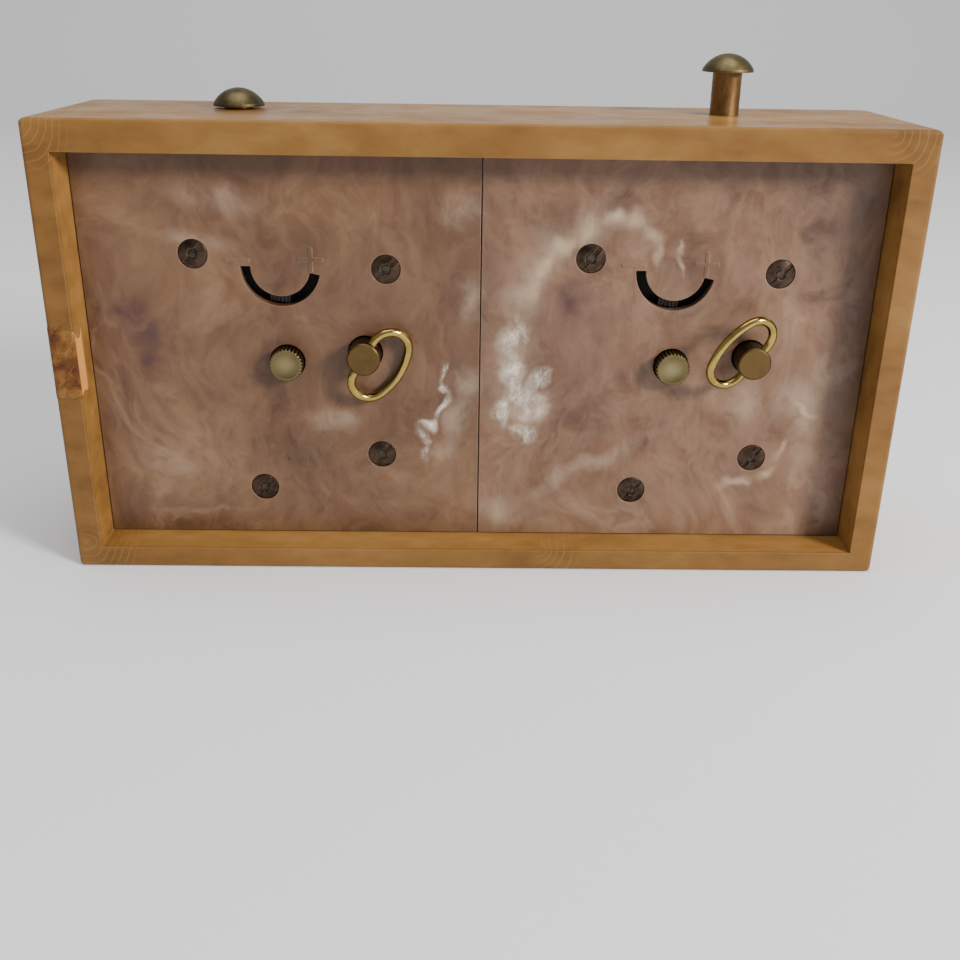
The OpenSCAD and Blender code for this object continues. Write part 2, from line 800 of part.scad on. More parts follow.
module pallet_lever(side) {
    pin_r = 0.22;
    spread = 64;
    reach = 5.25;
    color("#9d9d9a") at_clock(side) {
        at_place(lever_at) {
            bar([0, 0], front_plate_y, cock_y[1], pivot_r);
            slab(lever_y) {
                circle(r = 1);
                rotate(lever_dir) translate([0, -0.4]) square([2.9, 0.8]);
            }
        }
        for (s = [-1, 1]) {
            pin = escape_at + polar(reach, lever_dir + s * spread / 2);
            arm = pin - lever_at;
            bar(pin, escape_wheel_y[0], lever_y[1], pin_r);
            at_place(lever_at) slab(lever_y) rotate(atan2(arm[1], arm[0]))
                translate([0, -0.35]) square([norm(arm) + 0.3, 0.7]);
        }
    }
}

module balance_wheel(side) {
    rim = 1.3;
    color("#cfae62") at_clock(side) at_place(balance_at) {
        bar([0, 0], front_plate_y + plate_t + 0.5, back_plate_y - 0.5, 0.45);
        slab(balance_y) {
            difference() {
                circle(r = balance_r);
                circle(r = balance_r - rim);
            }
            for (a = [20, 80, 140]) rotate(a) square([2 * balance_r - rim, 1], center = true);
            circle(r = 1.6);
        }
        bar([0, 0], lever_y[0] - 0.3, lever_y[1] + 0.6, 1);
        bar(polar(1.25, 200), lever_y[0] - 0.1, lever_y[1] + 1, 0.2);
        bar([0, 0], lever_y[1] + 0.5, balance_y[0], 1.6);
    }
}

// Each hairspring ends in a stud under the back plate
module hairsprings() {
    outer = 5.8;
    color("#6e7884") for (side = [-1, 1]) at_clock(side) at_place(balance_at) {
        slab(hairspring_y) polygon(spiral(1.1, outer, 6, 0.15, 144, 0));
        bar([outer + 0.1, 0], hairspring_y[0] - 0.2, back_plate_y, 0.5);
    }
}

// The index ring turns on the cup screw, and its finger ends behind the panel's slot
module regulator(side) {
    rest = (slot_arc[0] + slot_arc[1]) / 2;
    ring_y = back_plate_y + plate_t;
    finger_w = 4.7;
    color("#c7b98c") at_clock(side) at_place(balance_at) difference() {
        union() {
            bar([0, 0], ring_y + 0.15, ring_y + 0.75, 3.4);
            slab([ring_y + 0.15, ring_y + 0.75]) rotate(rest) translate([0, -0.9]) square([slot_r, 1.8]);
            slab([ring_y + 0.15, ledge_y - 0.3]) rotate(rest)
                translate([slot_r, 0]) square([1.7, finger_w], center = true);
        }
        bar([0, 0], ring_y - 1, ring_y + 2, 2 + fit);
        for (i = [-2 : 2]) {
            rotate([0, -rest, 0]) translate([slot_r - 1, ledge_y - 0.55, i * 0.9 - 0.2]) cube([2, 1, 0.4]);
        }
    }
}

// ---- Plungers and rocker ----

module plunger(side, down) {
    under_cap = case_h + cap_gap + (down ? 0 : travel);
    fork_z = rocker_z + (down ? -1 : 1) * travel / 2;
    rim_h = 0.5;
    dome_h = cap_h - rim_h;
    dome_r = (cap_r * cap_r + dome_h * dome_h) / (2 * dome_h);
    foot_h = 2;
    color("#8f7d4e") translate([side * plunger_x, plunger_y, 0]) {
        translate([0, 0, fork_z + neck_h / 2]) cylinder(h = under_cap - fork_z - neck_h / 2, r = stem_r);
        translate([0, 0, fork_z - neck_h / 2 - foot_h]) cylinder(h = foot_h, r = stem_r);
        translate([0, 0, fork_z - neck_h / 2 - 0.5]) cylinder(h = neck_h + 1, r = 2);
        translate([0, 0, under_cap]) cylinder(h = rim_h, r = cap_r);
        intersection() {
            translate([0, 0, under_cap + cap_h - dome_r]) sphere(r = dome_r, $fn = 128);
            translate([0, 0, under_cap + rim_h - 0.01]) cylinder(h = cap_h, r = cap_r);
        }
    }
}

// One arm of the rocker towards +X or -X, level, from the pivot
module rocker_arm(s) {
    prong_t = 2.2;
    prong_w = 1.85;
    gap = 2.15;
    root_x = plunger_x - 6.5;
    translate([s > 0 ? 0 : -root_x, -beam_w / 2, -beam_h / 2]) cube([root_x, beam_w, beam_h]);
    for (t = [-1, 1]) {
        y1 = t > 0 ? gap : -gap - prong_w;
        translate([s > 0 ? root_x - 1 : -plunger_x, y1, -prong_t / 2])
            cube([plunger_x - root_x + 1, prong_w, prong_t]);
        translate([s * plunger_x, y1, 0]) rotate([-90, 0, 0]) cylinder(h = prong_w, r = beam_h / 2);
    }
    translate([s > 0 ? root_x - 2 : -root_x, -gap - prong_w, -beam_h / 2])
        cube([2, 2 * (gap + prong_w), beam_h]);
}

// A wire that stops the balance of the clock whose plunger is down
module brake_wire(s) {
    wire = 0.4;
    x = s * clock_x + balance_at[0];
    tip_z = arbor_z + balance_at[1] + balance_r + wire + 0.2;
    beam_z = rocker_z - abs(x) * sin(rocker_tilt);
    drop = beam_z - tip_z;
    translate([x, 0, -drop]) cylinder(h = drop, r = wire);
    translate([x, 0, -drop]) rotate([-90, 0, 0]) cylinder(h = balance_y[1] + 0.3 - plunger_y, r = wire);
    translate([x, 0, -drop]) sphere(r = wire);
}

module rocker() {
    color("#c4a050") translate([0, plunger_y, rocker_z]) rotate([0, rocker_tilt, 0]) {
        difference() {
            union() {
                for (s = [-1, 1]) rocker_arm(s);
                rotate([90, 0, 0]) cylinder(h = beam_w, r = 3.4, center = true);
            }
            rotate([90, 0, 0]) cylinder(h = beam_w + 2, r = 1.5 + fit, center = true);
        }
        for (s = [-1, 1]) brake_wire(s);
    }
}

module rocker_bracket() {
    top_z = case_h - top_wall - wall_taper - ledge_w;
    base_t = 1.6;
    ear_t = 1.5;
    ear_gap = beam_w / 2 + 0.2;
    color("#a7a7a3") translate([0, plunger_y, 0]) {
        translate([-8, -6, top_z - base_t]) cube([16, 12, base_t]);
        for (t = [-1, 1]) {
            translate([0, t > 0 ? ear_gap : -ear_gap - ear_t, rocker_z]) {
                rotate([-90, 0, 0]) cylinder(h = ear_t, r = 3.2);
                translate([-3.2, 0, 0]) cube([6.4, ear_t, top_z - rocker_z - 0.5]);
            }
        }
        translate([0, 0, rocker_z]) rotate([90, 0, 0])
            cylinder(h = 2 * (ear_gap + ear_t), r = 1.5, center = true);
    }
}

case_shell();  // case
back_panel(-1);  // left_back_panel
back_panel(1);  // right_back_panel
panel_nuts();
pillars();
plate_fasteners();
rocker();
rocker_bracket();
plunger(-1, false);  // left_plunger
plunger(1, true);  // right_plunger
mainsprings();
hairsprings();
bezel(-1);  // left_bezel
bezel(1);  // right_bezel
glass(-1);  // left_glass
glass(1);  // right_glass
dial(-1);  // left_dial
dial(1);  // right_dial
flag(-1);  // left_flag
flag(1);  // right_flag
hour_hand(-1, left_time);  // left_hour_hand
hour_hand(1, right_time);  // right_hour_hand
minute_hand(-1, left_time);  // left_minute_hand
minute_hand(1, right_time);  // right_minute_hand
front_plate(-1);  // left_front_plate
front_plate(1);  // right_front_plate
back_plate(-1);  // left_back_plate
back_plate(1);  // right_back_plate
centre_arbor(-1);  // left_centre_arbor
centre_arbor(1);  // right_centre_arbor
setting_knob(-1);  // left_setting_knob
setting_knob(1);  // right_setting_knob
minute_wheel(-1);  // left_minute_wheel
minute_wheel(1);  // right_minute_wheel
hour_wheel(-1);  // left_hour_wheel
hour_wheel(1);  // right_hour_wheel
winding_arbor(-1);  // left_winding_arbor
winding_arbor(1);  // right_winding_arbor
key_stem(-1, left_bow);  // left_key_stem
key_stem(1, right_bow);  // right_key_stem
key_bow(-1, left_bow);  // left_key_bow
key_bow(1, right_bow);  // right_key_bow
great_wheel(-1);  // left_great_wheel
great_wheel(1);  // right_great_wheel
click(-1);  // left_click
click(1);  // right_click
centre_wheel(-1);  // left_centre_wheel
centre_wheel(1);  // right_centre_wheel
third_wheel(-1);  // left_third_wheel
third_wheel(1);  // right_third_wheel
fourth_wheel(-1);  // left_fourth_wheel
fourth_wheel(1);  // right_fourth_wheel
escape_wheel(-1);  // left_escape_wheel
escape_wheel(1);  // right_escape_wheel
pallet_lever(-1);  // left_pallet_lever
pallet_lever(1);  // right_pallet_lever
balance_wheel(-1);  // left_balance_wheel
balance_wheel(1);  // right_balance_wheel
regulator(-1);  // left_regulator
regulator(1);  // right_regulator
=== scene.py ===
"""Looks of the chess clock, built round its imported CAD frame.

Everything is in metres in the frame's own axes: +Z is up, the dials face -Y and the back panels +Y.
"left" and "right" are as seen from the dials, so the right clock is the one at +X.
"""
import functools
import math

import bmesh
import bpy
from mathutils import Matrix, Vector


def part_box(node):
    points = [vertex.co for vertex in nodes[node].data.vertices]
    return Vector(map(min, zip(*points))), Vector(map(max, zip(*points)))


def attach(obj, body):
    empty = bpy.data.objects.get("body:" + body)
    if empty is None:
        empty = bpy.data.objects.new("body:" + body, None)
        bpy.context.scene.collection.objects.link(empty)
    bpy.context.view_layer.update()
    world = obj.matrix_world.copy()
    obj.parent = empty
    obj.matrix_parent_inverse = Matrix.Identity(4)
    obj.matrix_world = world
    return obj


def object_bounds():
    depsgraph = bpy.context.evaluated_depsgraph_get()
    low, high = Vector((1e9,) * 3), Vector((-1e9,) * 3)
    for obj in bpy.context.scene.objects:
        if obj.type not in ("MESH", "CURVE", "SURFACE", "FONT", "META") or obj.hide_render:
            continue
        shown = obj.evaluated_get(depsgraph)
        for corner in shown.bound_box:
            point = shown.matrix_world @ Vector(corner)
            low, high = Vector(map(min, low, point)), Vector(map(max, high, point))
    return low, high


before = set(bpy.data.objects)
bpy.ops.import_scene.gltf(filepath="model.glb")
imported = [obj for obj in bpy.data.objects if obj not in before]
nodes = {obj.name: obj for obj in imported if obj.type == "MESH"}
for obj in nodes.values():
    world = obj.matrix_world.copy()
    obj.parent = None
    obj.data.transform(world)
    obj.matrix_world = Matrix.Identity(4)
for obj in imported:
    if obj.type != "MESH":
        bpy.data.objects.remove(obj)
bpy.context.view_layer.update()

MM = 0.001
SIDES = ("left", "right")
RIM_ROUND = 1.0 * MM
SIDE_WALL = 6.0 * MM
CAP_HEIGHT = 4.0 * MM

# Metals. The pairs are for turned pieces: clean metal, then tarnish.
BRASS = dict(base=(0.70, 0.50, 0.21), worn=(0.90, 0.72, 0.40), tarnish=(0.50, 0.34, 0.13))
STEEL = dict(base=(0.50, 0.50, 0.49), worn=(0.74, 0.74, 0.73), tarnish=(0.33, 0.31, 0.29))
DARK_STEEL = dict(base=(0.055, 0.050, 0.046), worn=(0.16, 0.15, 0.14), tarnish=(0.030, 0.027, 0.025))
SPRING_STEEL = dict(base=(0.16, 0.19, 0.24), worn=(0.42, 0.45, 0.50), tarnish=(0.10, 0.11, 0.15))
BOW_BRASS = dict(base=(0.43, 0.315, 0.090), worn=(0.90, 0.76, 0.40), tarnish=(0.22, 0.15, 0.036))
BEZEL_BRASS = ((0.78, 0.58, 0.27), (0.55, 0.39, 0.16))
KEY_BRASS = ((0.122, 0.078, 0.031), (0.074, 0.046, 0.018))
KNOB_BRASS = ((0.155, 0.120, 0.054), (0.095, 0.070, 0.030))
# Colour of a painted highlight in the middle of a setting knob's face
KNOB_HIGHLIGHT = (0.29, 0.24, 0.125)

# Moulding swirls on the case: X and Z of the middle, and how far the rings reach, in millimetres
SWIRLS = [(97, 104.5, 9), (93, 4, 10), (-95, 105, 8), (-20, 3.2, 7)]


# ---- Shader building ----


class Paint:
    """One procedural material, made node by node in the frame's coordinates."""

    def __init__(self, name):
        self.material = bpy.data.materials.new(name)
        self.material.use_nodes = True
        self.tree = self.material.node_tree
        self.tree.nodes.clear()
        self.surface = self.node("ShaderNodeBsdfPrincipled")
        out = self.node("ShaderNodeOutputMaterial")
        self.tree.links.new(self.surface.outputs["BSDF"], out.inputs["Surface"])
        self.place = self.node("ShaderNodeTexCoord").outputs["Object"]

    def node(self, kind, **settings):
        made = self.tree.nodes.new(kind)
        for key, value in settings.items():
            setattr(made, key, value)
        return made

    def feed(self, socket, value):
        if isinstance(value, bpy.types.NodeSocket):
            self.tree.links.new(value, socket)
        else:
            socket.default_value = value

    def set(self, **inputs):
        for key, value in inputs.items():
            self.feed(self.surface.inputs[key.replace("_", " ")], value)

    def math(self, operation, a, b=0.0, clamp=False):
        made = self.node("ShaderNodeMath", operation=operation, use_clamp=clamp)
        for socket, value in zip(made.inputs, (a, b)):
            self.feed(socket, value)
        return made.outputs["Value"]

    def vector(self, operation, a, b):
        made = self.node("ShaderNodeVectorMath", operation=operation)
        self.feed(made.inputs[0], a)
        self.feed(made.inputs[1], b)
        return made.outputs["Vector"]

    def scaled(self, place, size):
        return self.vector("MULTIPLY", place, size)

    def length(self, gap):
        made = self.node("ShaderNodeVectorMath", operation="LENGTH")
        self.feed(made.inputs[0], gap)
        return made.outputs["Value"]

    def from_axis(self, x, z, place=None):
        """How far the place is from a Y axis through x and z."""
        gap = self.vector("SUBTRACT", place if place is not None else self.place, (x, 0, z))
        return self.length(self.scaled(gap, (1, 0, 1)))

    def share(self, amount, part):
        """A fixed part, or multiple, of an amount."""
        return self.math("MULTIPLY", amount, part)

    def noise(self, scale, detail, rough, place=None, kind="Fac"):
        made = self.node("ShaderNodeTexNoise")
        self.feed(made.inputs["Vector"], place if place is not None else self.place)
        made.inputs["Scale"].default_value = scale
        made.inputs["Detail"].default_value = detail
        made.inputs["Roughness"].default_value = rough
        return made.outputs[kind]

    def warp(self, scale, reach, place=None):
        """The place, pushed about by noise: by up to half of reach each way."""
        place = place if place is not None else self.place
        push = self.vector("SUBTRACT", self.noise(scale, 2, 0.5, place, "Color"), (0.5, 0.5, 0.5))
        return self.vector("ADD", place, self.scaled(push, (reach, reach, reach)))

    def remap(self, value, low, high, to_low=0.0, to_high=1.0):
        """The value from low to high, eased into to_low to to_high."""
        made = self.node("ShaderNodeMapRange", interpolation_type="SMOOTHSTEP")
        self.feed(made.inputs["Value"], value)
        for key, number in (("From Min", low), ("From Max", high), ("To Min", to_low), ("To Max", to_high)):
            made.inputs[key].default_value = number
        return made.outputs["Result"]

    def ramp(self, value, stops):
        made = self.node("ShaderNodeValToRGB")
        ramp = made.color_ramp
        while len(ramp.elements) < len(stops):
            ramp.elements.new(0.5)
        for element, (at, colour) in zip(ramp.elements, stops):
            element.position = at
            element.color = (*colour, 1.0)
        self.feed(made.inputs["Fac"], value)
        return made.outputs["Color"]

    def mix(self, amount, a, b, blend="MIX"):
        made = self.node("ShaderNodeMix", data_type="RGBA", blend_type=blend)
        self.feed(made.inputs["Factor"], amount)
        for socket, value in ((made.inputs[6], a), (made.inputs[7], b)):
            self.feed(socket, (*value, 1.0) if isinstance(value, tuple) and len(value) == 3 else value)
        return made.outputs[2]

    def axis(self, letter):
        made = self.node("ShaderNodeSeparateXYZ")
        self.feed(made.inputs[0], self.place)
        return made.outputs[letter]

    def blob(self, place, x, z, rx, rz, turn=0.0, soft=1.0):
        """1 inside an ellipse on the X-Z plane, falling to 0 at its edge. Millimetres and degrees."""
        made = self.node("ShaderNodeMapping", vector_type="TEXTURE")
        self.feed(made.inputs["Vector"], place)
        made.inputs["Location"].default_value = (x * MM, 0, z * MM)
        made.inputs["Rotation"].default_value = (0, -math.radians(turn), 0)
        made.inputs["Scale"].default_value = (rx * MM, 1.0, rz * MM)
        return self.remap(self.length(made.outputs[0]), 1.0 - soft, 1.0, 1.0, 0.0)

    def most(self, values):
        return functools.reduce(lambda a, b: self.math("MAXIMUM", a, b), values)

    def cover(self, place, spots):
        """The strongest of many blobs. Each is folded in as it is made, which keeps the shader small."""
        return self.most(self.blob(place, *spot) for spot in spots)

    def bump(self, height, distance, strength, radius=0.0):
        """Relief from a height, on top of edges rounded by radius."""
        made = self.node("ShaderNodeBump")
        self.feed(made.inputs["Height"], height)
        made.inputs["Distance"].default_value = distance
        made.inputs["Strength"].default_value = strength
        if radius:
            self.feed(made.inputs["Normal"], self.rounded(radius))
        self.set(Normal=made.outputs["Normal"])

    def rounded(self, radius):
        made = self.node("ShaderNodeBevel", samples=4)
        made.inputs["Radius"].default_value = radius
        return made.outputs["Normal"]

    def edges(self, radius):
        """About 1 along sharp edges and 0 on flats."""
        normal = self.node("ShaderNodeNewGeometry").outputs["Normal"]
        made = self.node("ShaderNodeVectorMath", operation="DOT_PRODUCT")
        self.feed(made.inputs[0], self.rounded(radius))
        self.feed(made.inputs[1], normal)
        gap = self.math("SUBTRACT", 1.0, made.outputs["Value"])
        return self.math("MULTIPLY", gap, 6.0, clamp=True)


# ---- Materials ----


def line(points, radius):
    """One long ellipse for each stretch between X-Z points, as (x, z, rx, rz, turn)."""
    spots = []
    for (ax, az), (bx, bz) in zip(points, points[1:]):
        reach = math.dist((ax, az), (bx, bz)) / 2 + 0.75 * radius
        turn = math.degrees(math.atan2(bz - az, bx - ax))
        spots.append(((ax + bx) / 2, (az + bz) / 2, reach, radius, turn))
    return spots


def swirl(p, x, z, reach):
    """Fine uneven rings about a point beyond the swirl's middle, fading out at its reach."""
    ring_gap = 1.745 * MM
    near = p.blob(p.place, x, z, reach, reach, soft=0.5)
    distance = p.from_axis((x + 5) * MM, (z + 3) * MM, p.warp(90, 0.004))
    ring = p.math("SINE", p.share(distance, 2 * math.pi / ring_gap))
    return p.math("MULTIPLY", p.remap(ring, 0.72, 1.0), near)


def case_material():
    """Butterscotch cast resin: soft streaks along the case, a darker rim and moulding swirls on it."""
    p = Paint("case_resin")
    rim_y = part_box("case")[1].y
    long_grain = p.scaled(p.warp(14, 0.02), (0.35, 1.0, 1.0))
    cloud = p.noise(42, 6, 0.62, long_grain)
    fine = p.noise(190, 4, 0.6, p.scaled(p.warp(60, 0.006), (0.5, 1, 1)))
    tone = p.math("ADD", p.share(cloud, 0.7), p.share(fine, 0.3))
    colour = p.ramp(tone, [
        (0.36, (0.170, 0.076, 0.017)), (0.46, (0.255, 0.121, 0.029)),
        (0.55, (0.305, 0.152, 0.040)), (0.66, (0.370, 0.200, 0.066)),
    ])
    dirt = p.remap(p.noise(26, 5, 0.6), 0.56, 0.72)
    colour = p.mix(p.share(dirt, 0.45), colour, (0.170, 0.088, 0.022))
    rim = p.remap(p.axis("Y"), rim_y - RIM_ROUND, rim_y - 0.2 * MM)
    colour = p.mix(rim, colour, (0.68, 0.66, 0.61), "MULTIPLY")
    rings = [swirl(p, *spot) for spot in SWIRLS]
    colour = p.mix(p.share(p.most(rings), 0.14), colour, (0.52, 0.30, 0.11))
    # Painted highlight: paler, warmer colour along the case's sharp edges
    colour = p.mix(p.share(p.edges(0.5 * MM), 0.35), colour, (0.46, 0.25, 0.085))
    p.set(Base_Color=colour, Roughness=p.remap(p.noise(70, 5, 0.65), 0.3, 0.7, 0.30, 0.46))
    p.set(IOR=1.32)
    p.bump(p.noise(320, 5, 0.6), 0.06 * MM, 0.5, 0.5 * MM)
    return p.material


# Marbling on the two panels, as (x, z, radius, other radius, turn) or line() in millimetres and degrees
DARK_BLOTCHES = [
    *line([(86, 66), (81, 61), (77, 55)], 6.4), (78, 53, 6.0, 4.2, 20),
    (86, 65, 5.0, 3.2, -20), (-22, 66, 5.0, 10),
]
PALE_HAZE = [
    *line([(-28, 88), (-21, 83), (-14, 78), (-11, 71), (-8, 62), (-6, 52), (-8, 43), (-15, 38)], 7.5),
    *line([(-27, 87), (-33, 88.5), (-38, 85.5), (-40.6, 79.8)], 4.0),
    (-79, 44, 11, 8, 20), (-87, 51, 7, 4), (-66, 43, 6, 7),
    *line([(-86, 58), (-84, 44), (-81, 33)], 4.5), (-6, 12, 9, 6),
    *line([(4, 50), (3, 42), (7, 33), (10, 25)], 5.0),
    (36, 36, 9, 5, 10), (79, 25, 10, 7, 30), (67, 81, 12, 4, 10),
    (5, 89, 8, 7), (62, 91, 14, 5, 10), (3, 67, 5, 9), (-28, 25, 26, 3.0, -30),
]
CREAM_STRANDS = [
    *line([(-26, 86.5), (-21, 82.5), (-16, 79), (-13, 73), (-10, 66)], 3.4),
    *line([(-28, 87.5), (-33, 88.5), (-38, 85.5), (-40.6, 79.8), (-42, 75)], 2.3),
    *line([(-47.6, 81), (-46.8, 77), (-49.4, 74)], 1.3),
    *line([(-78.5, 32.5), (-74, 27)], 1.9), *line([(-62, 18.7), (-70.7, 21.5), (-75, 25)], 2.2),
    *line([(-78, 43), (-84, 38)], 1.6),
]
WHITE_STREAKS = [
    *line([(-8.5, 62), (-6, 54), (-7.5, 47), (-9.5, 42)], 4.2),
    *line([(-8, 45), (-15.5, 38)], 5.6), (-14, 48, 5.5, 3.4, -30), (-5.5, 40, 3.4, 7), (-11, 34, 5, 3, 20),
    *line([(9, 52), (9.8, 46.6), (7.6, 41.7), (9.8, 37.5), (14.5, 35.2), (13.2, 30.8), (15, 25.6)], 1.7),
]


def fold(p, scale, detail, rough, place):
    """0 along the thin winding lines where a noise crosses its middle."""
    return p.math("ABSOLUTE", p.math("SUBTRACT", p.noise(scale, detail, rough, place), 0.5))


def panel_material():
    """Marbled brown resin with cream clouds, white streaks and a purple blotch."""
    p = Paint("marbled_resin")
    curl = p.warp(48, 0.014, p.warp(16, 0.034))
    wisp = p.warp(150, 0.0045, curl)
    tone = p.math("ADD", p.share(p.noise(30, 7, 0.62, curl), 0.62),
                  p.share(p.noise(135, 6, 0.68, p.scaled(wisp, (1, 1, 0.45))), 0.38))
    colour = p.ramp(tone, [
        (0.36, (0.070, 0.029, 0.015)), (0.45, (0.130, 0.062, 0.032)),
        (0.54, (0.178, 0.093, 0.051)), (0.64, (0.260, 0.155, 0.094)),
    ])
    thread = p.remap(fold(p, 34, 5, 0.55, wisp), 0.0, 0.045, 1.0, 0.0)
    thread = p.math("MULTIPLY", thread, p.remap(p.noise(22, 2, 0.5), 0.45, 0.62))
    colour = p.mix(p.share(thread, 0.30), colour, (0.36, 0.24, 0.165))
    fibre = p.remap(fold(p, 95, 5, 0.6, p.scaled(wisp, (1, 1, 0.5))), 0.0, 0.11, 1.0, 0.0)
    colour = p.mix(p.share(fibre, 0.13), colour, (0.38, 0.26, 0.175))
    mauve = p.remap(p.noise(19, 4, 0.6, p.vector("ADD", curl, (3, 1, 2))), 0.54, 0.70)
    colour = p.mix(p.share(mauve, 0.35), colour, (0.130, 0.062, 0.045))
    # The two panels are separate castings, and the +X one is a shade darker and warmer
    right_half = p.remap(p.axis("X"), -0.1 * MM, 0.1 * MM)
    colour = p.mix(p.share(right_half, 0.9), colour, (0.76, 0.69, 0.56), "MULTIPLY")
    near = p.warp(190, 0.0045, p.warp(70, 0.008))
    torn = p.remap(p.noise(170, 5, 0.65, near), 0.34, 0.55, 0.45, 1.0)
    smoke = p.remap(p.noise(120, 6, 0.7, p.scaled(near, (1, 1, 0.5))), 0.28, 0.66, 0.15, 1.0)
    veins = p.remap(p.noise(190, 7, 0.78, p.scaled(near, (1, 1, 0.6))), 0.36, 0.64, 0.05, 1.0)
    for spots, breaks, amount, tint in (
        (DARK_BLOTCHES, torn, 0.95, (0.062, 0.022, 0.020)), (PALE_HAZE, smoke, 0.44, (0.45, 0.335, 0.245)),
        (CREAM_STRANDS, torn, 0.46, (0.58, 0.43, 0.27)), (WHITE_STREAKS, veins, 0.92, (0.80, 0.73, 0.62)),
    ):
        colour = p.mix(p.share(p.math("MULTIPLY", p.cover(near, spots), breaks), amount), colour, tint)
    # Painted highlight: paler colour along the panels' sharp edges, such as the rims of the slots
    colour = p.mix(p.share(p.edges(0.4 * MM), 0.38), colour, (0.42, 0.28, 0.20))
    # Painted shade: darker under the top wall and along the -X wall, where those walls shadow the panels
    low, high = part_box("left_back_panel")
    shade_under_top = p.remap(p.axis("Z"), high.z - 10.5 * MM, high.z + 0.5 * MM)
    shade_by_wall = p.remap(p.axis("X"), low.x + 11.8 * MM, low.x - 0.2 * MM)
    painted_wall_shade = p.math("MAXIMUM", shade_under_top, shade_by_wall)
    colour = p.mix(p.share(painted_wall_shade, 0.75), colour, (0.62, 0.58, 0.56), "MULTIPLY")
    p.set(Base_Color=colour, Roughness=p.remap(p.noise(60, 5, 0.6), 0.3, 0.7, 0.34, 0.48), IOR=1.47)
    p.bump(p.noise(260, 4, 0.6), 0.05 * MM, 0.45, 0.3 * MM)
    return p.material


def metal_material(name, base, worn, tarnish, rough=(0.25, 0.42), scale=120, edge=0.5):
    """Metal with a mottled patina and brighter edges."""
    p = Paint(name)
    patina = p.remap(p.noise(scale, 6, 0.65, p.warp(scale * 0.6, 0.004)), 0.42, 0.66)
    colour = p.mix(p.share(patina, 0.6), base, tarnish)
    if edge:
        colour = p.mix(p.share(p.edges(0.25 * MM), edge), colour, worn)
    p.set(Base_Color=colour, Metallic=1.0)
    p.set(Roughness=p.remap(p.noise(scale * 3, 4, 0.6), 0.3, 0.7, *rough))
    p.bump(p.noise(scale * 9, 3, 0.6), 0.03 * MM, 0.35, 0.2 * MM if edge else 0.0)
    return p.material


def plunger_material(name, cap_from):
    """Tarnished brass: olive on the cap, redder and rubbed on the stem."""
    p = Paint(name)
    blend = 0.4 * MM
    up = p.remap(p.axis("Z"), cap_from - blend, cap_from + blend)
    stem = p.mix(p.remap(p.noise(160, 5, 0.65, p.scaled(p.place, (1, 1, 0.3))), 0.4, 0.65),
                 (0.235, 0.135, 0.055), (0.105, 0.055, 0.022))
    cap = p.mix(p.remap(p.noise(210, 6, 0.7, p.warp(120, 0.003)), 0.38, 0.66),
                (0.148, 0.116, 0.054), (0.075, 0.055, 0.025))
    colour = p.mix(up, stem, cap)
    colour = p.mix(p.share(p.edges(0.3 * MM), 0.45), colour, (0.46, 0.33, 0.15))
    p.set(Base_Color=colour, Metallic=1.0)
    p.set(Roughness=p.remap(p.noise(300, 4, 0.6), 0.3, 0.7, 0.34, 0.52))
    p.bump(p.noise(900, 3, 0.6), 0.04 * MM, 0.4, 0.3 * MM)
    return p.material


def ringed_metal(name, metal, centre, rough, face_y=None, side_shade_amount=0.85, painted_highlight=None):
    """Turned metal: fine rings about a Y axis through centre.

    Behind face_y its side gets painted shade, as much as side_shade_amount. painted_highlight is the colour
    of a painted highlight at the middle of the face.
    """
    p = Paint(name)
    base, dark = metal
    distance = p.from_axis(*centre)
    rings = p.node("ShaderNodeTexNoise", noise_dimensions="1D")
    p.feed(rings.inputs["W"], distance)
    rings.inputs["Scale"].default_value = 5200
    rings.inputs["Detail"].default_value = 2
    patina = p.remap(p.noise(110, 5, 0.65), 0.45, 0.68)
    colour = p.mix(p.share(patina, 0.6), base, dark)
    colour = p.mix(p.share(p.edges(0.3 * MM), 0.4), colour, tuple(min(1, c * 1.35) for c in base))
    if painted_highlight:
        # Painted highlight: the middle of the face made paler
        middle = p.remap(distance, 0.4 * MM, 3.2 * MM, 1.0, 0.0)
        colour = p.mix(p.share(middle, 0.7), colour, painted_highlight)
    if face_y:
        # Painted shade: the side behind the face made darker
        painted_side_shade = p.remap(p.axis("Y"), face_y - 0.9 * MM, face_y - 0.3 * MM, 1.0, 0.0)
        colour = p.mix(p.share(painted_side_shade, side_shade_amount), colour, tuple(c * 0.18 for c in base))
    p.set(Base_Color=colour, Metallic=1.0)
    p.set(Roughness=p.remap(rings.outputs["Fac"], 0.3, 0.7, *rough))
    p.bump(rings.outputs["Fac"], 0.02 * MM, 0.3, 0.3 * MM)
    return p.material


def turned_material(name, kind):
    """The ringed brass of a bezel, a key's stem or a setting knob."""
    low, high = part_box(name)
    centre = ((low.x + high.x) / 2, (low.z + high.z) / 2)
    if kind == "bezel":
        return ringed_metal(name + "_brass", BEZEL_BRASS, centre, (0.2, 0.34))
    if kind == "key_stem":
        # A key stem gets painted shade on its side
        return ringed_metal(name + "_brass", KEY_BRASS, centre, (0.30, 0.44), high.y)
    # A setting knob gets painted shade on its side and a painted highlight in the middle of its face
    return ringed_metal(name + "_brass", KNOB_BRASS, centre, (0.30, 0.44), high.y, 0.5, KNOB_HIGHLIGHT)


def nut_material():
    """Dark bronze nuts, rubbed to metal on their edges."""
    p = Paint("dark_bronze")
    patina = p.remap(p.noise(420, 5, 0.65), 0.40, 0.66)
    colour = p.mix(patina, (0.072, 0.046, 0.032), (0.030, 0.020, 0.015))
    colour = p.mix(p.share(p.edges(0.22 * MM), 0.7), colour, (0.30, 0.23, 0.16))
    p.set(Base_Color=colour, Metallic=1.0)
    p.set(Roughness=p.remap(p.noise(600, 4, 0.6), 0.3, 0.7, 0.30, 0.48))
    p.bump(p.noise(1400, 3, 0.6), 0.04 * MM, 0.5, 0.2 * MM)
    return p.material


